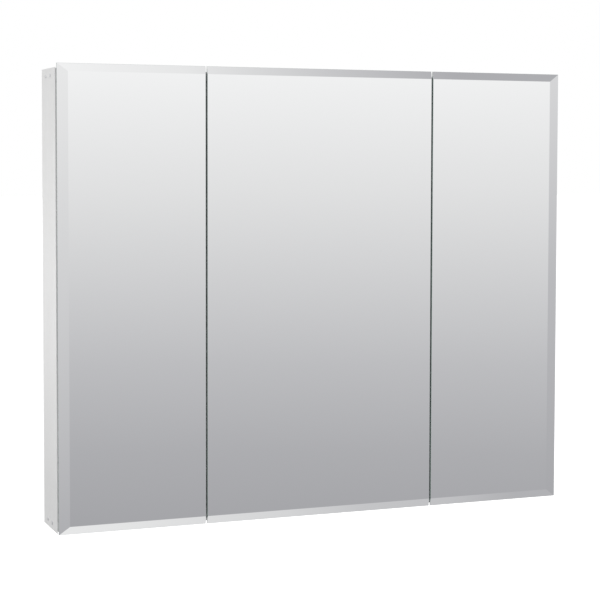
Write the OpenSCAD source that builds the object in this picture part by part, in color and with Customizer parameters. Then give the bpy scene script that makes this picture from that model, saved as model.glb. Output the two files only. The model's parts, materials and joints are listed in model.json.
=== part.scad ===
// Surface-mounted three-door mirror cabinet: a flanged sheet-steel body with two partitions, and three
// bevelled mirror doors that each turn on an upper and a lower pivot pin.
// X runs to the viewer's right, Y towards the wall, Z up. The origin is on the wall face, at the middle of
// the four wall screw holes.

/* [Overall] */
// Width over the three closed doors
cabinet_w = 914.4; // [860:0.1:1000]
// Height of the mirrors
cabinet_h = 762; // [720:1:900]
// Depth from the wall face to the front of the mirrors
cabinet_d = 110; // [104:0.5:150]
// Distance of each seam between doors from the middle of the cabinet
seam_x = 206.3; // [190:0.1:220]

/* [Doors] */
// Gap between two neighbouring mirrors
seam_gap = 2.4; // [2.3:0.1:4]
// Thickness of the mirror glass
mirror_t = 4; // [3:0.5:4]
// Width of the bevel along the upper and lower edges
bevel_h = 13; // [6:1:20]
// Width of the bevel along the outer side edges
bevel_side = 18; // [6:1:25]
// Depth that the bevels take off the glass at the edge
bevel_drop = 2.5; // [1:0.1:2.5]
// Chamfer on the glass edges beside a seam
arris = 0.6; // [0.5:0.1:0.8]
// Gap between the body and the door pans
door_gap = 2.5; // [2.5:0.1:3]
// Thickness of the foam tape that holds each mirror
tape_t = 0.8; // [0.5:0.1:0.9]
// Depth of the field pressed into the back of each door
press_depth = 2; // [1:0.5:2.5]

/* [Body] */
// Distance of the body's top edge below the mirrors' top edge
body_drop = 6; // [4:0.5:10]
// Sheet thickness of the body
sheet = 1; // [0.8:0.1:1]
// Width of the body's front flanges
flange_w = 20; // [16:1:22]
// Depth at which the top and bottom panels are set in
recess = 3; // [2.8:0.1:3.4]
// Width of a partition
partition_w = 20; // [16:1:24]

/* [Shelves] */
// Thickness of the glass shelves
shelf_t = 5; // [4:0.5:6]
// Depth of the glass shelves
shelf_depth = 76; // [60:1:76]
// Height of the upper shelves, as a number of support holes above the middle one
upper_row = 4; // [1:1:7]
// Height of the lower shelves, as a number of support holes below the middle one
lower_row = 4; // [1:1:7]

/* [Wall mounting] */
// Sideways distance between the wall screw holes
mount_x = 812.8; // [780:0.1:830]
// Vertical distance between the wall screw holes
mount_z = 660; // [640:1:680]
// Diameter of the wall screw holes
mount_d = 5.5; // [4:0.1:8]

/* [Hidden] */
$fn = 48;
slack = 0.05;                       // radial clearance of pins and screws in their holes
fit = 0.2;                          // clearance between folded sheet parts that meet
over = 1;                           // how far a cutting shape runs past the surface that it cuts

// heights
body_h = cabinet_h - body_drop;
body_top = body_h / 2;
body_bottom = -body_h / 2;
mirror_top = body_top + body_drop;

// depths, measured towards the room from the wall
front_zone = 14;                    // gap, pan, tape and mirror together
front_y = front_zone - cabinet_d;
pan_back_y = front_y - door_gap;
mirror_front_y = -cabinet_d;
mirror_back_y = mirror_front_y + mirror_t;
pan_front_y = mirror_back_y + tape_t;

// door outlines: hinge edge, free edge and the side on which the hinge sits
half_w = cabinet_w / 2;
LEFT = [-half_w, -seam_x - seam_gap / 2, -1];
CENTRE = [seam_x - seam_gap / 2, -seam_x + seam_gap / 2, 1];
RIGHT = [half_w, seam_x + seam_gap / 2, 1];
DOORS = [LEFT, CENTRE, RIGHT];
function hinge_x(door) = door[0];
function free_x(door) = door[1];
function hinge_side(door) = door[2];

// pivots
pivot_inset = 6.5;                  // from the mirror's hinge edge to the pin
pivot_reach = 8;                    // from the body's face to the pin
pivot_y = front_y - pivot_reach;
pin_r = 1.2;
pin_reach = 8;                      // length of pin inside the pivot block
nose_r = 1.75;                      // bracket nose around the pin
bracket_t = 2;
bracket_w = 26;                     // from the pin towards the middle of the door
bracket_l = 34;                     // from the body's face to the plate's rear edge
function pivot_x(door) = hinge_x(door) - hinge_side(door) * pivot_inset;

// door pans
pan_inset = 2;                      // from the mirror's side edges
pan_sheet = 0.8;
pan_lip = 14;
pan_end_gap = 1.4;                  // between a pan and the bracket's plane
press_border = 34;                  // flat rim around the pressed field
pan_top = body_top - recess - pan_end_gap;
pan_bottom = body_bottom + recess + pan_end_gap;
block_w = 14;
block_h = 14;
collar_h = 1.2;
collar_r = 3;
collar_gap = 0.3;
tape_w = 9;
tape_inset = 2;                     // from the pan's edges
tape_clear = 4;                     // between the tape's ends and the pivot blocks
strike_w = 24;
strike_h = 16;
bumper_r = 3.5;
bumper_inset = 6;                   // from the mirror's free edge
BUMPER_SHARE = [-0.8, 0, 0.8];      // heights as shares of half the body's height

// partitions, rails and fixings
partition_x = seam_x;
rail_h = 40;
rail_t = 3;
back_flange = 16;                   // the side panels' rear flanges
front_return = 8;                   // lip behind the side panels' front flanges
end_flange_inset = 6;               // the tray's end flanges stop short of its front and back
rivet_r = 1.6;
rivet_head_r = 3.2;
RIVET_SHARE = [-0.94, -0.72, -0.26, 0, 0.26, 0.72, 0.94];    // places as shares of half the width
screw_z = 12;                       // side screws: distance from the body's upper and lower edges
SCREW_Y = [-31, -62];
PARTITION_SCREW_Y = [-30, -70];
BRACKET_SCREW_DX = [6, 19];         // from the pin towards the middle of the door
bracket_screw_y = front_y + 24;
latch_screw_dx = 11;
latch_screw_y = front_y + 22;

// screws: shank radius, head radius, head height and length
SIDE_SCREW = [2, 3.5, 0.8, 9];
PARTITION_SCREW = [2, 3.6, 1.6, 8];
BRACKET_SCREW = [1.5, 2.8, 0.8, 8];
LATCH_SCREW = [1.5, 2.8, 1.2, 5];
function hole_r(screw) = screw[0] + slack;

// shelf supports
standard_w = 12;
standard_t = 3;
STANDARD_Y = [-20, -72];
row_pitch = 32;
row_count = 17;
slot_w = 7;
slot_h = 3;
slot_drop = 6;                      // from the shelf's underside down to the slot that carries it
standard_end = 8;                   // plain strip past the last slot
ledge = 9;                          // how far a clip reaches under its shelf
clip_t = 1.2;
clip_w = 10;
clip_h = 12;
hook_w = 6;
hook_l = 2;
shelf_end_gap = 1.5;
shelf_back_y = -8;
COMPARTMENTS = [
    [-half_w + sheet, -partition_x - partition_w / 2],
    [-partition_x + partition_w / 2, partition_x - partition_w / 2],
    [partition_x + partition_w / 2, half_w - sheet],
];

// touch latches, under the top panel near each door's free edge
latch_inset = 26;
latch_ceiling = body_top - recess - sheet;
latch_z = latch_ceiling - 10;
latch_w = 15;
latch_l = 44;
ear_l = 12;
ear_t = 3;
bore_wall = 2;
plunger_r = 4.5;
plunger_gap = 0.6;                  // between a plunger and the hole in the body's flange
plunger_l = 24;
magnet_reach = 1.3;                 // how far the magnet stands out past the body
magnet_proud = 0.3;                 // how far it stands out of the plunger
magnet_r = 3.8;
magnet_t = 2;
strike_t = 1;
spring_r = 3;
spring_turns = 5;
wire_r = 0.45;
latch_front_y = front_y + sheet;
bore_end_y = latch_front_y + latch_l - bore_wall;
plunger_front_y = front_y - magnet_reach + magnet_proud;
plunger_back_y = plunger_front_y + plunger_l;
function latch_x(door) = free_x(door) + hinge_side(door) * latch_inset;

// ---------------------------------------------------------------- helpers

// A box between two opposite corners.
module box(low, high) {
    translate(low) cube(high - low);
}

// A round bar or hole along Z from z0 to z1.
module rod_z(x, y, z0, z1, r) {
    translate([x, y, z0]) cylinder(h = z1 - z0, r = r);
}

// A round bar or hole along Y, from y0 back to y1.
module rod_y(x, z, y0, y1, r) {
    translate([x, y1, z]) rotate([90, 0, 0]) cylinder(h = y1 - y0, r = r);
}

// A round bar or hole along X from x0 to x1.
module rod_x(y, z, x0, x1, r) {
    translate([x0, y, z]) rotate([0, 90, 0]) cylinder(h = x1 - x0, r = r);
}

// Repeats the upper half's geometry at the bottom when lower is true.
module at_end(lower) {
    mirror([0, 0, lower ? 1 : 0]) children();
}

// A pan-head screw that points down, its head's underside at the origin.
module screw(kind) {
    r = kind[0];
    head = kind[1];
    height = kind[2];
    length = kind[3];
    difference() {
        union() {
            rotate_extrude() polygon([
                [0, 0], [head, 0], [head, height * 0.35], [head * 0.86, height * 0.8],
                [head * 0.6, height], [0, height],
            ]);
            translate([0, 0, -length]) cylinder(h = length, r = r);
        }
        for (a = [0, 90]) rotate([0, 0, a])
            translate([-head * 0.55, -head * 0.09, height * 0.35]) cube([head * 1.1, head * 0.18, height]);
    }
}

// ---------------------------------------------------------------- body

// A side panel as a channel that opens inwards, drawn for the left side.
module side_panel() {
    x0 = -half_w;
    flange_z = body_top - recess - sheet - flange_w - fit;
    difference() {
        union() {
            box([x0, front_y, body_bottom], [x0 + sheet, 0, body_top]);
            box([x0, front_y, -flange_z], [x0 + flange_w, front_y + sheet, flange_z]);
            box([x0 + flange_w - sheet, front_y, -flange_z],
                [x0 + flange_w, front_y + front_return, flange_z]);
            box([x0, -2 * sheet, -flange_z], [x0 + back_flange, -sheet, flange_z]);
        }
        for (lower = [false, true], y = SCREW_Y) at_end(lower)
            rod_x(y, body_top - screw_z, x0 - over, x0 + sheet + over, hole_r(SIDE_SCREW));
    }
}

// The top panel: a tray with its flanges turned down, set in below the side panels' upper edges.
module top_panel_shape() {
    z1 = body_top - recess;
    z0 = z1 - sheet;
    fz = z0 - flange_w;
    xi = half_w - sheet;
    difference() {
        union() {
            box([-xi, front_y, z0], [xi, -sheet, z1]);
            box([-xi, front_y, fz], [xi, front_y + sheet, z1]);
            box([-xi, -2 * sheet, fz], [xi, -sheet, z1]);
            for (s = [0, 1]) mirror([s, 0, 0])
                box([xi - sheet, front_y + end_flange_inset, fz], [xi, -end_flange_inset, z1]);
        }
        for (y = SCREW_Y) rod_x(y, body_top - screw_z, -half_w, half_w, hole_r(SIDE_SCREW));
        for (s = [-1, 1], y = PARTITION_SCREW_Y)
            rod_z(s * partition_x, y, z0 - over, z1 + over, hole_r(PARTITION_SCREW));
        for (door = DOORS) bracket_holes(door, z0 - over, z1 + over);
    }
}

// What only the top panel has: a plunger hole and two screw holes for each latch.
module latch_holes() {
    for (door = DOORS) {
        rod_y(latch_x(door), latch_z, front_y - over, front_y + sheet + over, plunger_r + plunger_gap);
        for (s = [-1, 1]) rod_z(latch_x(door) + s * latch_screw_dx, latch_screw_y, latch_ceiling - over,
                                latch_ceiling + sheet + over, hole_r(LATCH_SCREW));
    }
}

module left_side_panel() { color("white") side_panel(); }
module right_side_panel() { color("white") mirror([1, 0, 0]) side_panel(); }
module top_panel() {
    color("white") difference() {
        top_panel_shape();
        latch_holes();
    }
}
module bottom_panel() { color("white") at_end(true) top_panel_shape(); }

module back_panel() {
    xi = half_w - sheet;
    color("white") difference() {
        box([-xi, -sheet, body_bottom + recess], [xi, 0, body_top - recess]);
        mount_holes();
        rivet_holes();
    }
}

// Four open holes for the wall screws, one near each corner.
module mount_holes() {
    for (sx = [-1, 1], sz = [-1, 1])
        rod_y(sx * mount_x / 2, sz * mount_z / 2, -sheet - rail_t - over, over, mount_d / 2);
}

module rivet_holes() {
    for (share = RIVET_SHARE, sz = [-1, 1])
        rod_y(share * half_w, sz * mount_z / 2, -sheet - rail_t - over, over, rivet_r + slack);
}

module hanging_rail(side) {
    xi = half_w - back_flange - sheet;
    color("white") difference() {
        box([-xi, -sheet - rail_t, side * mount_z / 2 - rail_h / 2],
            [xi, -sheet, side * mount_z / 2 + rail_h / 2]);
        mount_holes();
        rivet_holes();
    }
}
module upper_hanging_rail() { hanging_rail(1); }
module lower_hanging_rail() { hanging_rail(-1); }

// A partition as a channel that opens towards the back panel, drawn for the right-hand seam.
module partition() {
    x0 = partition_x - partition_w / 2;
    x1 = partition_x + partition_w / 2;
    z1 = body_top - recess - sheet;
    fz = z1 - flange_w - fit;
    difference() {
        box([x0, front_y, -z1], [x1, -2 * sheet, z1]);
        box([x0 + sheet, front_y + sheet, -z1 + sheet], [x1 - sheet, 0, z1 - sheet]);
        for (lower = [false, true]) at_end(lower) {
            box([x0 - over, front_y - over, fz], [x1 + over, front_y + sheet, z1 + over]);
            box([x0 - over, -sheet - rail_t - fit, mount_z / 2 - rail_h / 2 - fit],
                [x1 + over, 0, mount_z / 2 + rail_h / 2 + fit]);
            for (y = PARTITION_SCREW_Y)
                rod_z(partition_x, y, z1 - sheet - over, z1 + over, hole_r(PARTITION_SCREW));
        }
    }
}
module left_partition() { color("white") mirror([1, 0, 0]) partition(); }
module right_partition() { color("white") partition(); }

module side_screws() {
    color("silver") for (sx = [0, 1], lower = [false, true], y = SCREW_Y)
        mirror([sx, 0, 0]) at_end(lower) translate([half_w, y, body_top - screw_z])
            rotate([0, 90, 0]) screw(SIDE_SCREW);
}

module partition_screws() {
    color("silver") for (sx = [-1, 1], lower = [false, true], y = PARTITION_SCREW_Y)
        at_end(lower) translate([sx * partition_x, y, body_top - recess]) screw(PARTITION_SCREW);
}

module rail_rivets() {
    color("silver") for (share = RIVET_SHARE, sz = [-1, 1])
        translate([share * half_w, -sheet - rail_t, sz * mount_z / 2]) rotate([90, 0, 0]) union() {
            rotate_extrude() polygon([[0, 0], [rivet_head_r, 0], [2.7, 0.7], [1.6, 1.2], [0, 1.3]]);
            translate([0, 0, -sheet - rail_t]) cylinder(h = sheet + rail_t, r = rivet_r);
        }
}

// ---------------------------------------------------------------- shelves

module shelf(bay, row) {
    edge = standard_t + shelf_end_gap;
    z = row * row_pitch;
    color([0.75, 0.9, 0.86, 0.5]) translate([0, 0, z])
        box([bay[0] + edge, shelf_back_y - shelf_depth, 0], [bay[1] - edge, shelf_back_y, shelf_t]);
}
module left_upper_shelf() { shelf(COMPARTMENTS[0], upper_row); }
module left_lower_shelf() { shelf(COMPARTMENTS[0], -lower_row); }
module centre_upper_shelf() { shelf(COMPARTMENTS[1], upper_row); }
module centre_lower_shelf() { shelf(COMPARTMENTS[1], -lower_row); }
module right_upper_shelf() { shelf(COMPARTMENTS[2], upper_row); }
module right_lower_shelf() { shelf(COMPARTMENTS[2], -lower_row); }

// Runs its children once for each wall that carries shelf supports, facing +X from the wall at the origin.
module at_walls() {
    for (bay = COMPARTMENTS) {
        translate([bay[0], 0, 0]) children();
        translate([bay[1], 0, 0]) mirror([1, 0, 0]) children();
    }
}

// Slotted strips, a front and a back one on each wall of each compartment.
module shelf_standards() {
    half_l = (row_count * row_pitch) / 2 + standard_end;
    mid = (row_count - 1) / 2;
    edge = standard_w / 2;
    color("silver") at_walls() for (y = STANDARD_Y) translate([0, y, 0]) difference() {
        box([0, -edge, -half_l], [standard_t, edge, half_l]);
        box([-over, sheet - edge, -half_l - over], [standard_t - sheet, edge - sheet, half_l + over]);
        for (i = [-mid:mid]) translate([0, 0, i * row_pitch - slot_drop])
            box([-over, -slot_w / 2, -slot_h / 2], [standard_t + over, slot_w / 2, slot_h / 2]);
    }
}

// Clips: a plate against the strip, a hook through its slot and a ledge under the shelf.
module shelf_clips() {
    color("silver") at_walls() for (y = STANDARD_Y, row = [-lower_row, upper_row])
        translate([standard_t, y, row * row_pitch]) {
            box([0, -clip_w / 2, -clip_h], [clip_t, clip_w / 2, 0]);
            box([0, -clip_w / 2, -clip_t], [ledge, clip_w / 2, 0]);
            box([-hook_l, -hook_w / 2, -slot_drop - clip_t], [clip_t, hook_w / 2, -slot_drop]);
        }
}

// ---------------------------------------------------------------- hinges

module bracket_holes(door, z0, z1) {
    s = hinge_side(door);
    for (dx = BRACKET_SCREW_DX)
        rod_z(pivot_x(door) - s * dx, bracket_screw_y, z0, z1, hole_r(BRACKET_SCREW));
}

// An upper pivot bracket: a plate on the top panel with a narrow nose that carries the pin.
module bracket(door) {
    z0 = body_top - recess;
    s = hinge_side(door);
    color("silver") difference() {
        union() {
            rod_z(pivot_x(door), pivot_y, z0, z0 + bracket_t, nose_r);
            translate([pivot_x(door), 0, z0]) linear_extrude(bracket_t) polygon([
                [s * nose_r * 0.8, pivot_y + nose_r * 0.6],
                [s * 0.6, front_y],
                [s * 0.6, front_y + 10],
                [s * 3.5, front_y + 14],
                [s * 3.5, front_y + bracket_l],
                [-s * bracket_w, front_y + bracket_l],
                [-s * bracket_w, front_y + 14],
                [-s * 9, front_y + 8],
                [-s * 5, front_y],
                [-s * nose_r * 0.9, pivot_y + nose_r * 0.43],
            ]);
        }
        rod_z(pivot_x(door), pivot_y, z0 - over, z0 + bracket_t + over, pin_r + slack);
        bracket_holes(door, z0 - over, z0 + bracket_t + over);
    }
}
module left_upper_bracket() { bracket(LEFT); }
module left_lower_bracket() { at_end(true) bracket(LEFT); }
module centre_upper_bracket() { bracket(CENTRE); }
module centre_lower_bracket() { at_end(true) bracket(CENTRE); }
module right_upper_bracket() { bracket(RIGHT); }
module right_lower_bracket() { at_end(true) bracket(RIGHT); }

module bracket_screws() {
    z1 = body_top - recess;
    color("silver") for (door = DOORS, lower = [false, true], dx = BRACKET_SCREW_DX) at_end(lower)
        translate([pivot_x(door) - hinge_side(door) * dx, bracket_screw_y, z1 + bracket_t])
            screw(BRACKET_SCREW);
}

// Two pins for each door, riveted into the brackets.
module pivot_pins() {
    z1 = body_top - recess;
    color("silver") for (door = DOORS, lower = [false, true]) at_end(lower)
        rod_z(pivot_x(door), pivot_y, z1 - pin_reach, z1 + bracket_t, pin_r);
}

// Nylon blocks in the pan's hinge corners, each with a collar and a blind bore for the pin.
module pivot_blocks(door) {
    s = hinge_side(door);
    edge = hinge_x(door) - s * (pan_inset + pan_sheet);
    inner = edge - s * block_w;
    color("ivory") for (lower = [false, true]) at_end(lower) difference() {
        union() {
            box([min(edge, inner), mirror_back_y, pan_top - pan_sheet - block_h],
                [max(edge, inner), pan_back_y - pan_sheet, pan_top - pan_sheet]);
            intersection() {
                rod_z(pivot_x(door), pivot_y, pan_top - pan_sheet - over, pan_top + collar_h, collar_r);
                box([pivot_x(door) - block_w, mirror_back_y, pan_top - block_h],
                    [pivot_x(door) + block_w, pan_back_y, body_top]);
            }
        }
        rod_z(pivot_x(door), pivot_y, body_top - recess - pin_reach - over, body_top, pin_r + slack);
    }
}
module left_pivot_blocks() { pivot_blocks(LEFT); }
module centre_pivot_blocks() { pivot_blocks(CENTRE); }
module right_pivot_blocks() { pivot_blocks(RIGHT); }

// ---------------------------------------------------------------- doors

function low_x(door) = min(hinge_x(door), free_x(door));
function high_x(door) = max(hinge_x(door), free_x(door));

// Width of the slope on a side edge: a bevel on the cabinet's outer edges, an arris beside a seam.
function slope_w(x) = abs(abs(x) - half_w) < 0.01 ? bevel_side : arris;
function slope_d(x) = abs(abs(x) - half_w) < 0.01 ? bevel_drop : arris;

// The glass is where an upright outline with the side slopes crosses a level one with the end bevels.
module mirror_glass(door) {
    x0 = low_x(door);
    x1 = high_x(door);
    color([0.82, 0.84, 0.86]) intersection() {
        translate([0, 0, body_bottom]) linear_extrude(cabinet_h) polygon([
            [x0, mirror_back_y],
            [x0, mirror_front_y + slope_d(x0)],
            [x0 + slope_w(x0), mirror_front_y],
            [x1 - slope_w(x1), mirror_front_y],
            [x1, mirror_front_y + slope_d(x1)],
            [x1, mirror_back_y],
        ]);
        translate([x0, 0, 0]) rotate([90, 0, 90]) linear_extrude(x1 - x0) polygon([
            [mirror_back_y, body_bottom],
            [mirror_back_y, mirror_top],
            [mirror_front_y + bevel_drop, mirror_top],
            [mirror_front_y, mirror_top - bevel_h],
            [mirror_front_y, body_bottom + bevel_h],
            [mirror_front_y + bevel_drop, body_bottom],
        ]);
    }
}
module left_mirror() { mirror_glass(LEFT); }
module centre_mirror() { mirror_glass(CENTRE); }
module right_mirror() { mirror_glass(RIGHT); }

// A shallow field with sloping sides, sunk from the plane y towards the mirror.
module pressed_field(x0, x1, half_h, y) {
    slope = 1.5 * press_depth;
    intersection() {
        translate([0, 0, -half_h]) linear_extrude(2 * half_h) polygon([
            [x0, y + over],
            [x0, y],
            [x0 + slope, y - press_depth],
            [x1 - slope, y - press_depth],
            [x1, y],
            [x1, y + over],
        ]);
        translate([x0, 0, 0]) rotate([90, 0, 90]) linear_extrude(x1 - x0) polygon([
            [y + over, -half_h],
            [y, -half_h],
            [y - press_depth, slope - half_h],
            [y - press_depth, half_h - slope],
            [y, half_h],
            [y + over, half_h],
        ]);
    }
}

// A hollow pan: a back with a pressed field, four walls and a lip all round the front.
module door_pan(door) {
    s = hinge_side(door);
    x0 = low_x(door) + pan_inset;
    x1 = high_x(door) - pan_inset;
    t = pan_sheet;
    wall = hinge_x(door) - s * (pan_inset + t);
    block_end = wall - s * (block_w + fit);
    notch_w = collar_r + collar_gap;
    color("gainsboro") difference() {
        box([x0, pan_front_y, pan_bottom], [x1, pan_back_y, pan_top]);
        pressed_field(x0 + press_border, x1 - press_border, pan_top - press_border, pan_back_y);
        difference() {
            box([x0 + t, pan_front_y + t, pan_bottom + t], [x1 - t, pan_back_y - t, pan_top - t]);
            pressed_field(x0 + press_border, x1 - press_border, pan_top - press_border, pan_back_y - t);
        }
        box([x0 + pan_lip, pan_front_y - over, pan_bottom + pan_lip],
            [x1 - pan_lip, pan_front_y + t + over, pan_top - pan_lip]);
        for (lower = [false, true]) at_end(lower) {
            box([min(wall, block_end), pan_front_y - over, pan_top - t - block_h - fit],
                [max(wall, block_end), pan_front_y + t, pan_top - t]);
            box([pivot_x(door) - notch_w, pan_front_y - over, pan_top - t - over],
                [pivot_x(door) + notch_w, pivot_y + notch_w, pan_top + over]);
        }
    }
}
module left_door_pan() { door_pan(LEFT); }
module centre_door_pan() { door_pan(CENTRE); }
module right_door_pan() { door_pan(RIGHT); }

// Four strips of foam tape between the pan's lip and the back of the glass.
module mirror_tape(door) {
    x0 = low_x(door) + pan_inset + tape_inset;
    x1 = high_x(door) - pan_inset - tape_inset;
    z1 = pan_top - tape_inset;
    clear = block_w + tape_clear;
    color("dimgray") {
        for (x = [x0, x1 - tape_w])
            box([x, mirror_back_y, -z1 + clear], [x + tape_w, pan_front_y, z1 - clear]);
        for (z = [-z1, z1 - tape_w])
            box([x0 + clear, mirror_back_y, z], [x1 - clear, pan_front_y, z + tape_w]);
    }
}
module left_mirror_tape() { mirror_tape(LEFT); }
module centre_mirror_tape() { mirror_tape(CENTRE); }
module right_mirror_tape() { mirror_tape(RIGHT); }

// A thin steel plate on the pan's back that the latch magnet holds.
module strike_plate(door) {
    x = latch_x(door);
    color("silver") box([x - strike_w / 2, pan_back_y, latch_z - strike_h / 2],
                        [x + strike_w / 2, pan_back_y + strike_t, latch_z + strike_h / 2]);
}
module left_strike_plate() { strike_plate(LEFT); }
module centre_strike_plate() { strike_plate(CENTRE); }
module right_strike_plate() { strike_plate(RIGHT); }

// Soft domes near the pan's free edge that meet the body's face.
module door_bumpers(door) {
    h = door_gap - fit;
    r = bumper_r;
    color([0.9, 0.9, 0.9]) for (share = BUMPER_SHARE)
        translate([free_x(door) + hinge_side(door) * bumper_inset, pan_back_y, share * body_top])
            rotate([-90, 0, 0]) rotate_extrude() polygon([
                [0, 0], [r, 0], [0.97 * r, 0.35 * h], [0.77 * r, 0.78 * h], [0.45 * r, h], [0, h],
            ]);
}
module left_door_bumpers() { door_bumpers(LEFT); }
module centre_door_bumpers() { door_bumpers(CENTRE); }
module right_door_bumpers() { door_bumpers(RIGHT); }

// ---------------------------------------------------------------- touch latches

// A block with a blind bore for the plunger, hung under the top panel by two ears.
module latch_housing(door) {
    x = latch_x(door);
    y = latch_screw_y;
    color("whitesmoke") difference() {
        union() {
            box([x - latch_w / 2, latch_front_y, latch_z - latch_w / 2],
                [x + latch_w / 2, latch_front_y + latch_l, latch_ceiling]);
            box([x - latch_w, y - ear_l / 2, latch_ceiling - ear_t],
                [x + latch_w, y + ear_l / 2, latch_ceiling]);
        }
        rod_y(x, latch_z, latch_front_y - over, bore_end_y, plunger_r + 2 * slack);
        for (s = [-1, 1]) rod_z(x + s * latch_screw_dx, y, latch_ceiling - ear_t - over,
                                latch_ceiling + over, hole_r(LATCH_SCREW));
    }
}
module left_latch_housing() { latch_housing(LEFT); }
module centre_latch_housing() { latch_housing(CENTRE); }
module right_latch_housing() { latch_housing(RIGHT); }

module latch_screws() {
    color("silver") for (door = DOORS, s = [-1, 1])
        translate([latch_x(door) + s * latch_screw_dx, latch_screw_y, body_top - recess])
            screw(LATCH_SCREW);
}

module latch_plunger(door) {
    color("ghostwhite") difference() {
        rod_y(latch_x(door), latch_z, plunger_front_y, plunger_back_y, plunger_r);
        rod_y(latch_x(door), latch_z, plunger_front_y - over, plunger_front_y - magnet_proud + magnet_t,
              magnet_r);
    }
}
module left_latch_plunger() { latch_plunger(LEFT); }
module centre_latch_plunger() { latch_plunger(CENTRE); }
module right_latch_plunger() { latch_plunger(RIGHT); }

module latch_magnet(door) {
    color("dimgray")
        rod_y(latch_x(door), latch_z, plunger_front_y - magnet_proud,
              plunger_front_y - magnet_proud + magnet_t, magnet_r);
}
module left_latch_magnet() { latch_magnet(LEFT); }
module centre_latch_magnet() { latch_magnet(CENTRE); }
module right_latch_magnet() { latch_magnet(RIGHT); }

// A coil spring between the plunger and the end of the bore, swept as rings of points along a helix.
module coil(length, turns, r, wire) {
    per_turn = 14;
    sides = 6;
    rings = turns * per_turn;
    points = [for (i = [0:rings], k = [0:sides - 1])
        let (a = i * 360 / per_turn, b = k * 360 / sides, q = r + wire * cos(b))
        [q * cos(a), q * sin(a), wire + i * (length - 2 * wire) / rings + wire * sin(b)]];
    skin = [for (i = [0:rings - 1], k = [0:sides - 1])
        let (n = (k + 1) % sides)
        [i * sides + k, i * sides + n, (i + 1) * sides + n, (i + 1) * sides + k]];
    ends = [[for (k = [sides - 1:-1:0]) k], [for (k = [0:sides - 1]) rings * sides + k]];
    polyhedron(points, concat(skin, ends), convexity = 6);
}
module latch_spring(door) {
    color("silver") translate([latch_x(door), bore_end_y, latch_z]) rotate([90, 0, 0])
        coil(bore_end_y - plunger_back_y, spring_turns, spring_r, wire_r);
}
module left_latch_spring() { latch_spring(LEFT); }
module centre_latch_spring() { latch_spring(CENTRE); }
module right_latch_spring() { latch_spring(RIGHT); }

// ---------------------------------------------------------------- assembly

left_side_panel();
right_side_panel();
top_panel();
bottom_panel();
back_panel();
left_partition();
right_partition();
upper_hanging_rail();
lower_hanging_rail();
side_screws();
partition_screws();
rail_rivets();
bracket_screws();
latch_screws();
left_upper_shelf();
left_lower_shelf();
centre_upper_shelf();
centre_lower_shelf();
right_upper_shelf();
right_lower_shelf();
shelf_standards();
shelf_clips();
left_upper_bracket();
left_lower_bracket();
centre_upper_bracket();
centre_lower_bracket();
right_upper_bracket();
right_lower_bracket();
pivot_pins();
left_latch_housing();
centre_latch_housing();
right_latch_housing();
left_latch_spring();
centre_latch_spring();
right_latch_spring();
left_latch_plunger();
centre_latch_plunger();
right_latch_plunger();
left_latch_magnet();
centre_latch_magnet();
right_latch_magnet();
left_mirror();
centre_mirror();
right_mirror();
left_door_pan();
centre_door_pan();
right_door_pan();
left_mirror_tape();
centre_mirror_tape();
right_mirror_tape();
left_pivot_blocks();
centre_pivot_blocks();
right_pivot_blocks();
left_strike_plate();
centre_strike_plate();
right_strike_plate();
left_door_bumpers();
centre_door_bumpers();
right_door_bumpers();
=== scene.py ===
"""Looks of the three-door mirror cabinet: materials, softened edges, camera, floor and studio light."""
import json
import math

import bpy
from mathutils import Matrix, Vector


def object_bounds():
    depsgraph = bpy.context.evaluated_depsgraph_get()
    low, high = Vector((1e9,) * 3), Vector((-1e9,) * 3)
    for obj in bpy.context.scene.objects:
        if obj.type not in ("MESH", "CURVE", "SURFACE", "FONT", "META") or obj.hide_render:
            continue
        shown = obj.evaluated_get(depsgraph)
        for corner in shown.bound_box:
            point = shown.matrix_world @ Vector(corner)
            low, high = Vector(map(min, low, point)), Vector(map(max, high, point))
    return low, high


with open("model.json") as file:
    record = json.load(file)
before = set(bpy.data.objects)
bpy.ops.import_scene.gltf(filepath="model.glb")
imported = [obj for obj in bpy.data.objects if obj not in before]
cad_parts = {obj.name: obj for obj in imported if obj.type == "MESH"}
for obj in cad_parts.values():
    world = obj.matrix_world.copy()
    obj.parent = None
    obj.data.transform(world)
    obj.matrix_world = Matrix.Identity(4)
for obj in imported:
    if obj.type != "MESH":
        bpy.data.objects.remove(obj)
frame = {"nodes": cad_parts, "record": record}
cad_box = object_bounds()
NODES = frame["nodes"]
SLOT_OF = {row["node"]: row["material_slot"] for row in frame["record"]["subparts"]}
MM = 0.001

# A Mix node's numbers and colours share their sockets' names, so these are the sockets' places.
MIX_FACTOR = 0
FIRST_NUMBER, SECOND_NUMBER, NUMBER_RESULT = 2, 3, 0
FIRST_COLOUR, SECOND_COLOUR, COLOUR_RESULT = 6, 7, 2


# ------------------------------------------------------------------ node helpers

def new_material(name):
    """A material with only a Principled shader: the material, its nodes and that shader."""
    material = bpy.data.materials.new(name)
    material.use_nodes = True
    return material, material.node_tree, material.node_tree.nodes["Principled BSDF"]


def link(tree, value, socket):
    """Feeds value into socket."""
    tree.links.new(value, socket)


def add(tree, kind, **settings):
    """A node of that kind, with its attributes and named inputs set."""
    node = tree.nodes.new(kind)
    for key, value in settings.items():
        if hasattr(node, key):
            setattr(node, key, value)
        else:
            node.inputs[key.replace("_", " ")].default_value = value
    return node


def noise(tree, scale, detail=3.0, roughness=0.5, stretch=None):
    """Noise from 0 to 1 in the object's own frame; scale is in features per metre."""
    vector = add(tree, "ShaderNodeTexCoord").outputs["Object"]
    if stretch:
        squeeze = add(tree, "ShaderNodeMapping")
        squeeze.inputs["Scale"].default_value = stretch
        link(tree, vector, squeeze.inputs["Vector"])
        vector = squeeze.outputs["Vector"]
    node = add(tree, "ShaderNodeTexNoise", Scale=scale, Detail=detail, Roughness=roughness)
    link(tree, vector, node.inputs["Vector"])
    return node.outputs["Fac"]


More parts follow.
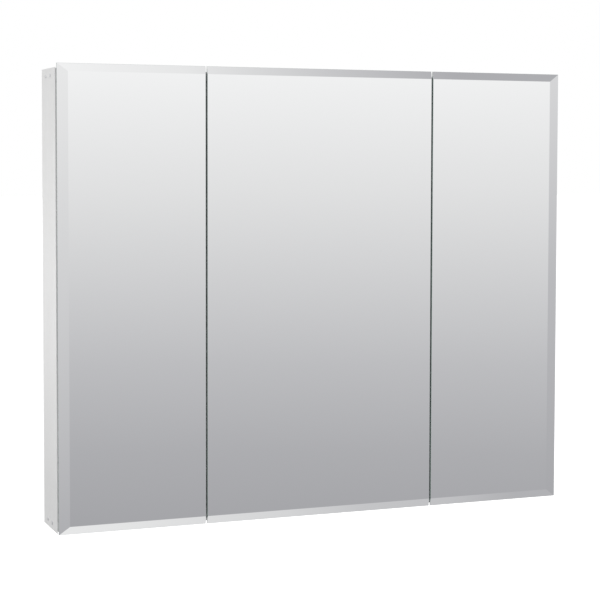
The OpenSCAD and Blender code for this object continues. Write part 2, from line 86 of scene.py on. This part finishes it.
def spread(tree, value, low, high, start=0.3, end=0.7):
    """Maps value from start..end to low..high, clamped."""
    node = add(tree, "ShaderNodeMapRange")
    node.inputs["From Min"].default_value = start
    node.inputs["From Max"].default_value = end
    node.inputs["To Min"].default_value = low
    node.inputs["To Max"].default_value = high
    link(tree, value, node.inputs["Value"])
    return node.outputs["Result"]


def ramp_up(tree, value, start, end):
    """0 up to start, rising to 1 at end."""
    return spread(tree, value, 0.0, 1.0, start, end)


def ramp_down(tree, value, start, end):
    """1 up to start, falling to 0 at end."""
    return spread(tree, value, 1.0, 0.0, start, end)


def blend_colour(tree, factor, first, second):
    """A colour from first (factor 0) to second (factor 1); each is a socket or three numbers."""
    node = add(tree, "ShaderNodeMix", data_type="RGBA")
    for place, value in ((FIRST_COLOUR, first), (SECOND_COLOUR, second)):
        if isinstance(value, tuple):
            node.inputs[place].default_value = (*value, 1.0)
        else:
            link(tree, value, node.inputs[place])
    link(tree, factor, node.inputs[MIX_FACTOR])
    return node.outputs[COLOUR_RESULT]


def blend_number(tree, factor, first, second):
    """A number from first (factor 0) to second (factor 1)."""
    node = add(tree, "ShaderNodeMix", data_type="FLOAT")
    link(tree, factor, node.inputs[MIX_FACTOR])
    link(tree, first, node.inputs[FIRST_NUMBER])
    link(tree, second, node.inputs[SECOND_NUMBER])
    return node.outputs[NUMBER_RESULT]


def bump(tree, shader, height, distance):
    """Raises the surface by height times distance metres."""
    node = add(tree, "ShaderNodeBump", Distance=distance)
    link(tree, height, node.inputs["Height"])
    link(tree, node.outputs["Normal"], shader.inputs["Normal"])


def own_normal(tree):
    """The X, Y and Z parts of the face's direction in the object's own frame."""
    parts = add(tree, "ShaderNodeSeparateXYZ")
    link(tree, add(tree, "ShaderNodeTexCoord").outputs["Normal"], parts.inputs["Vector"])
    return parts.outputs


# How far from an edge the painted edge highlight reaches.
HIGHLIGHT_REACH = 1.4 * MM
# The dot product of the rounded and the true direction, at an edge and away from it.
AT_EDGE, OFF_EDGE = 0.75, 0.99


def edge_highlight_mask(tree):
    """1 along the edges, where the materials paint a lighter edge highlight, and 0 elsewhere."""
    rounded = add(tree, "ShaderNodeBevel", samples=4, Radius=HIGHLIGHT_REACH)
    alike = add(tree, "ShaderNodeVectorMath", operation="DOT_PRODUCT")
    link(tree, rounded.outputs["Normal"], alike.inputs[0])
    link(tree, add(tree, "ShaderNodeNewGeometry").outputs["Normal"], alike.inputs[1])
    return ramp_down(tree, alike.outputs["Value"], AT_EDGE, OFF_EDGE)


# ------------------------------------------------------------------ materials

def white_enamel():
    """Satin powder coat: a fine orange-peel skin, faint unevenness and edges painted lighter as a
    highlight.
    """
    material, tree, shader = new_material("white_enamel")
    tone = spread(tree, noise(tree, 7.0), 0.0, 1.0)
    body = blend_colour(tree, tone, (0.84, 0.84, 0.835), (0.87, 0.87, 0.868))
    grime = spread(tree, noise(tree, 38.0, 5.0, 0.62), 0.0, 0.35, 0.52, 0.85)
    body = blend_colour(tree, grime, body, (0.80, 0.795, 0.78))
    # Lighter towards the edges: a painted highlight where the edges catch the light.
    body = blend_colour(tree, edge_highlight_mask(tree), body, (0.90, 0.90, 0.895))
    link(tree, body, shader.inputs["Base Color"])
    link(tree, spread(tree, noise(tree, 90.0, 4.0), 0.30, 0.44), shader.inputs["Roughness"])
    shader.inputs["Specular IOR Level"].default_value = 0.45
    bump(tree, shader, noise(tree, 900.0, 2.0, 0.4), 0.06 * MM)
    return material


def mirror_glass():
    """Silvered glass: clear mirror in front, green-tinged ground edges and grey paint behind."""
    material, tree, shader = new_material("mirror_glass")
    facing = own_normal(tree)["Y"]
    front = ramp_down(tree, facing, -0.9, -0.8)
    back = ramp_up(tree, facing, 0.8, 0.9)
    ripple = noise(tree, 240.0, 3.0, 0.6, (1.0, 1.0, 0.25))
    edge = blend_colour(tree, ripple, (0.20, 0.27, 0.25), (0.34, 0.42, 0.39))
    paint = blend_colour(tree, noise(tree, 60.0, 4.0), (0.20, 0.22, 0.23), (0.27, 0.29, 0.30))
    silver = blend_colour(tree, noise(tree, 3.0), (0.912, 0.916, 0.920), (0.920, 0.924, 0.928))
    colour = blend_colour(tree, back, blend_colour(tree, front, edge, silver), paint)
    link(tree, colour, shader.inputs["Base Color"])
    link(tree, front, shader.inputs["Metallic"])
    haze = spread(tree, noise(tree, 5.0, 6.0, 0.65), 0.006, 0.03, 0.45, 0.75)
    ground = spread(tree, noise(tree, 400.0, 2.0), 0.25, 0.4)
    link(tree, blend_number(tree, front, ground, haze), shader.inputs["Roughness"])
    bump(tree, shader, noise(tree, 9.0, 1.0), 0.02 * MM)
    return material


def shelf_glass():
    """Clear float glass with green depth and polished edges."""
    material, tree, shader = new_material("shelf_glass")
    level = add(tree, "ShaderNodeMath", operation="ABSOLUTE")
    link(tree, own_normal(tree)["Z"], level.inputs[0])
    face = ramp_up(tree, level.outputs[0], 0.6, 0.95)
    tint = blend_colour(tree, noise(tree, 30.0), (0.93, 0.975, 0.96), (0.95, 0.985, 0.975))
    link(tree, blend_colour(tree, face, (0.45, 0.72, 0.63), tint), shader.inputs["Base Color"])
    link(tree, spread(tree, noise(tree, 14.0, 5.0), 0.01, 0.06, 0.45, 0.8), shader.inputs["Roughness"])
    shader.inputs["Transmission Weight"].default_value = 0.92
    shader.inputs["IOR"].default_value = 1.5
    bump(tree, shader, noise(tree, 25.0, 2.0), 0.03 * MM)
    return material


def zinc_steel():
    """Plated steel: drawn streaks, a cloudy tone and edges painted brighter as a highlight."""
    material, tree, shader = new_material("zinc_steel")
    streak = noise(tree, 900.0, 4.0, 0.6, (1.0, 1.0, 0.08))
    cloud = noise(tree, 55.0, 5.0, 0.6)
    tone = blend_colour(tree, spread(tree, cloud, 0.0, 1.0), (0.66, 0.67, 0.69), (0.75, 0.76, 0.77))
    # Brighter towards the edges: a painted highlight where the edges catch the light.
    tone = blend_colour(tree, edge_highlight_mask(tree), tone, (0.86, 0.86, 0.87))
    link(tree, tone, shader.inputs["Base Color"])
    shader.inputs["Metallic"].default_value = 1.0
    link(tree, spread(tree, streak, 0.24, 0.42), shader.inputs["Roughness"])
    bump(tree, shader, streak, 0.04 * MM)
    return material


def satin_aluminium():
    """Anodised sheet: fine upright brushing, a cloudy sheen, a few finger marks and edges painted
    brighter as a highlight.
    """
    material, tree, shader = new_material("satin_aluminium")
    brushed = noise(tree, 1600.0, 3.0, 0.6, (1.0, 1.0, 0.02))
    cloud = noise(tree, 11.0, 5.0, 0.6)
    tone = blend_colour(tree, spread(tree, cloud, 0.0, 1.0), (0.69, 0.70, 0.715), (0.75, 0.76, 0.77))
    tone = blend_colour(tree, spread(tree, brushed, 0.0, 0.5), tone, (0.62, 0.63, 0.65))
    # Brighter towards the edges: a painted highlight where the edges catch the light.
    tone = blend_colour(tree, edge_highlight_mask(tree), tone, (0.84, 0.85, 0.86))
    link(tree, tone, shader.inputs["Base Color"])
    shader.inputs["Metallic"].default_value = 1.0
    marks = spread(tree, noise(tree, 26.0, 6.0, 0.7), 0.36, 0.52, 0.4, 0.75)
    link(tree, marks, shader.inputs["Roughness"])
    bump(tree, shader, brushed, 0.02 * MM)
    return material


def moulded(name, dark, light, smoothest, roughest):
    """Moulded plastic: a spark-eroded grain and faint flow marks."""
    material, tree, shader = new_material(name)
    flow = noise(tree, 45.0, 4.0, 0.55, (1.0, 0.3, 1.0))
    link(tree, blend_colour(tree, spread(tree, flow, 0.0, 1.0), dark, light), shader.inputs["Base Color"])
    link(tree, spread(tree, noise(tree, 300.0), smoothest, roughest), shader.inputs["Roughness"])
    bump(tree, shader, noise(tree, 2200.0, 2.0), 0.05 * MM)
    return material


def latch_plastic():
    """White moulded plastic."""
    return moulded("latch_plastic", (0.74, 0.74, 0.73), (0.82, 0.82, 0.81), 0.36, 0.50)


def nylon():
    """Natural nylon, slightly yellow."""
    return moulded("nylon", (0.68, 0.66, 0.60), (0.78, 0.76, 0.70), 0.32, 0.46)


def magnet():
    """Dark ferrite."""
    return moulded("magnet", (0.045, 0.045, 0.05), (0.09, 0.09, 0.095), 0.44, 0.58)


def foam_tape():
    """Closed-cell foam: a coarse pitted surface."""
    material, tree, shader = new_material("foam_tape")
    cells = noise(tree, 1400.0, 4.0, 0.7)
    tone = blend_colour(tree, cells, (0.03, 0.03, 0.032), (0.12, 0.12, 0.125))
    link(tree, tone, shader.inputs["Base Color"])
    link(tree, spread(tree, cells, 0.75, 0.95), shader.inputs["Roughness"])
    bump(tree, shader, cells, 0.2 * MM)
    return material


def clear_rubber():
    """Translucent soft domes."""
    material, tree, shader = new_material("clear_rubber")
    cloud = noise(tree, 200.0, 3.0)
    tone = blend_colour(tree, cloud, (0.74, 0.75, 0.74), (0.86, 0.87, 0.86))
    link(tree, tone, shader.inputs["Base Color"])
    link(tree, spread(tree, cloud, 0.25, 0.4), shader.inputs["Roughness"])
    shader.inputs["Subsurface Weight"].default_value = 0.3
    shader.inputs["Subsurface Scale"].default_value = 2 * MM
    bump(tree, shader, noise(tree, 1500.0, 2.0), 0.03 * MM)
    return material


MAKERS = {
    "white_enamel": white_enamel, "mirror_glass": mirror_glass, "shelf_glass": shelf_glass,
    "zinc_steel": zinc_steel, "satin_aluminium": satin_aluminium, "foam_tape": foam_tape,
    "nylon": nylon, "latch_plastic": latch_plastic, "magnet": magnet, "clear_rubber": clear_rubber,
}


# ------------------------------------------------------------------ softened edges

# Corners of neighbouring faces closer than this are one corner, in millimetres.
JOIN_MM = 0.01
# Faces that turn by less than this are one flat face.
FLAT_DEG = 0.5
# Edges that turn by more than this are softened, unless they are shorter than this, as round rims are.
SHARP_DEG = 28
SHORTEST_MM = 2.0
# After softening, edges that turn by less than this are shaded as one curve.
CURVE_DEG = 18
# Faces larger than this are flat, in square millimetres.
FLAT_AREA_MM2 = 30
# How far the softening reaches from an edge of each slot's pieces, in millimetres.
EDGE_MM = {
    "white_enamel": 0.3, "mirror_glass": 0.25, "shelf_glass": 0.6, "zinc_steel": 0.15,
    "satin_aluminium": 0.3, "nylon": 0.3, "latch_plastic": 0.5,
}
# Facets across a softened edge.
EDGE_FACETS = 2


def modifier_group(name):
    """An empty group of modifier nodes, with its incoming mesh and its outgoing socket."""
    group = bpy.data.node_groups.new(name, "GeometryNodeTree")
    for way in ("INPUT", "OUTPUT"):
        group.interface.new_socket("Geometry", in_out=way, socket_type="NodeSocketGeometry")
    return group, add(group, "NodeGroupInput").outputs[0], add(group, "NodeGroupOutput").inputs[0]


def more_than(group, value, limit):
    """True where value is above limit."""
    compare = add(group, "FunctionNodeCompare", data_type="FLOAT", operation="GREATER_THAN")
    link(group, value, compare.inputs["A"])
    compare.inputs["B"].default_value = limit
    return compare.outputs["Result"]


def turns_more_than(group, degrees):
    """True for edges whose two faces turn by more than that."""
    turn = add(group, "GeometryNodeInputMeshEdgeAngle").outputs["Unsigned Angle"]
    return more_than(group, turn, math.radians(degrees))


def marking_group():
    """Marks the sharp edges that the bevel softens, but not the short ones around holes and pins."""
    group, source, result = modifier_group("mark_edges")
    ends = add(group, "GeometryNodeInputMeshEdgeVertices")
    length = add(group, "ShaderNodeVectorMath", operation="DISTANCE")
    link(group, ends.outputs["Position 1"], length.inputs[0])
    link(group, ends.outputs["Position 2"], length.inputs[1])
    both = add(group, "FunctionNodeBooleanMath", operation="AND")
    link(group, turns_more_than(group, SHARP_DEG), both.inputs[0])
    link(group, more_than(group, length.outputs["Value"], SHORTEST_MM * MM), both.inputs[1])
    store = add(group, "GeometryNodeStoreNamedAttribute", data_type="FLOAT", domain="EDGE")
    store.inputs["Name"].default_value = "bevel_weight_edge"
    link(group, source, store.inputs["Geometry"])
    link(group, both.outputs[0], store.inputs["Value"])
    link(group, store.outputs["Geometry"], result)
    return group


def shading_group():
    """Replaces the normals: large faces are flat and small gentle turns are curved."""
    group, source, result = modifier_group("shading")
    normals = add(group, "GeometryNodeSetMeshNormal", mode="SHARPNESS", Remove_Custom=True)
    link(group, source, normals.inputs["Mesh"])
    link(group, turns_more_than(group, CURVE_DEG), normals.inputs["Edge Sharpness"])
    area = add(group, "GeometryNodeInputMeshFaceArea").outputs["Area"]
    link(group, more_than(group, area, FLAT_AREA_MM2 * MM * MM), normals.inputs["Face Sharpness"])
    link(group, normals.outputs["Mesh"], result)
    return group


def soften_edges(node, width, marking, shading):
    """Rounds the node's sharp edges with modifiers; its mesh stays as it is."""
    join = node.modifiers.new("join_faces", "WELD")
    join.merge_threshold = JOIN_MM * MM
    merge = node.modifiers.new("merge_flat", "DECIMATE")
    merge.decimate_type = "DISSOLVE"
    merge.angle_limit = math.radians(FLAT_DEG)
    node.modifiers.new("mark", "NODES").node_group = marking
    soften = node.modifiers.new("soften", "BEVEL")
    soften.width = width
    soften.segments = EDGE_FACETS
    soften.limit_method = "WEIGHT"
    node.modifiers.new("shade", "NODES").node_group = shading


def finish_nodes():
    """Gives each CAD node its slot's material and softens its sharp edges."""
    materials = {slot: maker() for slot, maker in MAKERS.items()}
    marking, shading = marking_group(), shading_group()
    for name, node in NODES.items():
        slot = SLOT_OF[name]
        node.data.materials.clear()
        node.data.materials.append(materials[slot])
        if slot in EDGE_MM:
            soften_edges(node, EDGE_MM[slot] * MM, marking, shading)


# ------------------------------------------------------------------ camera

EYE = Vector((-1.0602, -2.7256, 0.2276))
YAW = 21.30          # towards +X from straight at the wall, in degrees
PITCH = -2.92
ROLL = 0.13
FOCAL_SHARE = 2.766  # focal length over the picture's width
SENSOR = 36.0
SHIFT_Y = -0.09


def place_camera():
    """The camera in front of the cabinet's left half, level with its upper part."""
    data = bpy.data.cameras.new("camera")
    data.sensor_width = SENSOR
    data.lens = FOCAL_SHARE * SENSOR
    data.shift_y = SHIFT_Y
    camera = bpy.data.objects.new("camera", data)
    bpy.context.scene.collection.objects.link(camera)
    aim = Matrix.Rotation(math.radians(-YAW), 4, "Z") @ Matrix.Rotation(math.radians(90 + PITCH), 4, "X")
    camera.matrix_world = Matrix.Translation(EYE) @ aim @ Matrix.Rotation(math.radians(ROLL), 4, "Z")
    bpy.context.scene.camera = camera


# ------------------------------------------------------------------ floor

# The floor lies this far below the cabinet, which hangs on a wall, and reaches this far each way.
FLOOR_DROP = 0.35
FLOOR_REACH = 40.0
# Extra glow that keeps the floor as white as the backdrop to the camera.
FLOOR_GLOW = 0.55


def lay_floor(z):
    """A pale plane that reflections don't show."""
    mesh = bpy.data.meshes.new("floor")
    r = FLOOR_REACH
    mesh.from_pydata([(-r, -r, z), (r, -r, z), (r, r, z), (-r, r, z)], [], [(0, 1, 2, 3)])
    plane = bpy.data.objects.new("floor", mesh)
    bpy.context.scene.collection.objects.link(plane)
    material, tree, shader = new_material("floor_paint")
    tone = blend_colour(tree, noise(tree, 1.5), (0.93, 0.93, 0.93), (0.95, 0.95, 0.95))
    link(tree, tone, shader.inputs["Base Color"])
    shader.inputs["Roughness"].default_value = 0.9
    shader.inputs["Emission Color"].default_value = (1.0, 1.0, 1.0, 1.0)
    seen = add(tree, "ShaderNodeLightPath").outputs["Is Camera Ray"]
    link(tree, spread(tree, seen, 0.0, FLOOR_GLOW, 0.0, 1.0), shader.inputs["Emission Strength"])
    mesh.materials.append(material)
    plane.visible_glossy = False


# ------------------------------------------------------------------ surroundings

# Parts of the room darker than DUSK turn bluish, by this much for each step of brightness.
DUSK = 0.92
DUSK_BLUE = 0.18
# The room that mirrors show, as brightness by elevation in degrees: in front of the cabinet, to the
# left and right of that, and from the far left round to the back.
MIDDLE = [(-13, 0.662), (-10, 0.704), (-7, 0.768), (-1, 0.912), (4, 0.996)]
LEFT = [(-13, 0.706), (3, 0.94)]
RIGHT = [(-13, 0.665), (-4, 0.755), (3, 0.87)]
BEHIND = [(-50, 0.47), (-13, 0.685), (-5, 0.933), (3, 1.0)]
# The ceiling and the floor of the room, as brightness by direction in degrees right of straight ahead.
CEILING = [(12, 1.0), (19, 0.937), (24.4, 0.808), (29, 0.703), (60, 0.745)]
GROUND = [(10, 0.965), (17.5, 0.932), (24.4, 0.862), (27.3, 0.80), (30.5, 0.785), (33, 0.72), (60, 0.715)]
# Where one part of the room passes into the next, in degrees: directions, then elevations.
LEFT_TO_MIDDLE = (0.0, 9.0)
MIDDLE_TO_RIGHT = (33.0, 42.0)
BEHIND_TO_LEFT = (-125.0, -105.0)
SIDES_TO_CEILING = (6.0, 14.0)
GROUND_TO_SIDES = (-26.0, -18.0)
# Brightness of the soft light on matt surfaces, from above, from the sides and from below.
SKY_TOP = (0.78, 0.78, 0.78)
SKY_SIDE = (0.47, 0.47, 0.47)
SKY_BOTTOM = (0.40, 0.40, 0.40)
# Where that light passes from one of them into the next, as elevations in degrees.
SIDE_TO_TOP = (0.0, 90.0)
BOTTOM_TO_SIDE = (-60.0, 0.0)
# What the camera sees past the object and through clear glass.
WHITE = (1.0, 1.0, 1.0)


def linear(shown):
    """The linear light of a brightness as an sRGB screen shows it; both are 1 for white."""
    return shown / 12.92 if shown <= 0.04045 else ((shown + 0.055) / 1.055) ** 2.4


def light_ramp(tree, value, stops):
    """A ramp of light; stops are (value, brightness as shown) pairs in rising order of value."""
    low, high = stops[0][0], stops[-1][0]
    node = add(tree, "ShaderNodeValToRGB")
    ramp = node.color_ramp
    while len(ramp.elements) < len(stops):
        ramp.elements.new(0.5)
    for element, (at, shown) in zip(ramp.elements, stops):
        element.position = (at - low) / (high - low)
        light = linear(shown)
        blue = 1.0 + DUSK_BLUE * max(0.0, DUSK - shown)
        element.color = (light, light, light * blue, 1.0)
    link(tree, ramp_up(tree, value, low, high), node.inputs["Fac"])
    return node.outputs["Color"]


def arithmetic(tree, operation, *values):
    """The result of a maths node; each value is a socket or a number."""
    node = add(tree, "ShaderNodeMath", operation=operation)
    for socket, value in zip(node.inputs, values):
        if isinstance(value, float):
            socket.default_value = value
        else:
            link(tree, value, socket)
    return node.outputs[0]


def build_world():
    """White to the camera, a soft dome of light to matt surfaces, and a room with
    a bright wall and a greyer floor to mirrors and gloss."""
    world = bpy.data.worlds.new("studio")
    world.use_nodes = True
    tree = world.node_tree
    xyz = add(tree, "ShaderNodeSeparateXYZ")
    link(tree, add(tree, "ShaderNodeTexCoord").outputs["Generated"], xyz.inputs["Vector"])
    degrees = math.degrees(1.0)
    rise = arithmetic(tree, "ARCSINE", xyz.outputs["Z"])
    elevation = arithmetic(tree, "MULTIPLY", rise, degrees)
    ahead = arithmetic(tree, "MULTIPLY", xyz.outputs["Y"], -1.0)
    bearing = arithmetic(tree, "ARCTAN2", xyz.outputs["X"], ahead)
    azimuth = arithmetic(tree, "MULTIPLY", bearing, degrees)

    sides = blend_colour(tree, ramp_up(tree, azimuth, *LEFT_TO_MIDDLE),
                         light_ramp(tree, elevation, LEFT), light_ramp(tree, elevation, MIDDLE))
    sides = blend_colour(tree, ramp_up(tree, azimuth, *MIDDLE_TO_RIGHT),
                         sides, light_ramp(tree, elevation, RIGHT))
    room = blend_colour(tree, ramp_up(tree, elevation, *SIDES_TO_CEILING),
                        sides, light_ramp(tree, azimuth, CEILING))
    room = blend_colour(tree, ramp_down(tree, elevation, *GROUND_TO_SIDES),
                        room, light_ramp(tree, azimuth, GROUND))
    room = blend_colour(tree, ramp_down(tree, azimuth, *BEHIND_TO_LEFT),
                        room, light_ramp(tree, elevation, BEHIND))

    dome = blend_colour(tree, ramp_up(tree, elevation, *SIDE_TO_TOP), SKY_SIDE, SKY_TOP)
    dome = blend_colour(tree, ramp_down(tree, elevation, *BOTTOM_TO_SIDE), dome, SKY_BOTTOM)
    path = add(tree, "ShaderNodeLightPath").outputs
    light = blend_colour(tree, path["Is Glossy Ray"], dome, room)
    direct = arithmetic(tree, "MAXIMUM", path["Is Camera Ray"], path["Is Transmission Ray"])
    link(tree, blend_colour(tree, direct, light, WHITE), tree.nodes["Background"].inputs["Color"])
    bpy.context.scene.world = world


# ------------------------------------------------------------------ lights

def softbox(name, start, offset, target, size, power):
    """A square light at start + offset, aimed at target and unseen in reflections; power in watts."""
    light = bpy.data.lights.new(name, "AREA")
    light.shape = "RECTANGLE"
    light.size = light.size_y = size
    light.energy = power
    lamp = bpy.data.objects.new(name, light)
    lamp.location = start + Vector(offset)
    lamp.rotation_euler = (target - lamp.location).to_track_quat("-Z", "Y").to_euler()
    lamp.visible_glossy = False
    lamp.visible_camera = False
    bpy.context.scene.collection.objects.link(lamp)


def place_lights(low, high):
    """A small light beside each end of the cabinet, a large one in front and a large one behind."""
    middle = (Vector(low) + Vector(high)) / 2
    left = Vector((low[0], middle.y, 0.0))
    right = Vector((high[0], middle.y, 0.0))
    raised = left + Vector((0.0, 0.0, 0.03))
    softbox("strip_left", left, (-0.45, -0.06, 0.03), raised, 0.3, 0.65)
    softbox("strip_right", right, (1.1, -0.3, 0.25), right, 0.5, 3.0)
    softbox("key_front", middle, (-0.9, -2.6, 1.6), middle, 1.2, 12.0)
    softbox("fill_back", middle, (0.9, 2.4, 1.2), middle, 1.4, 12.0)


finish_nodes()
place_camera()
lay_floor(cad_box[0][2] - FLOOR_DROP)
build_world()
place_lights(*cad_box)
bpy.context.scene.view_settings.view_transform = "Standard"
bpy.context.scene.view_settings.look = "None"
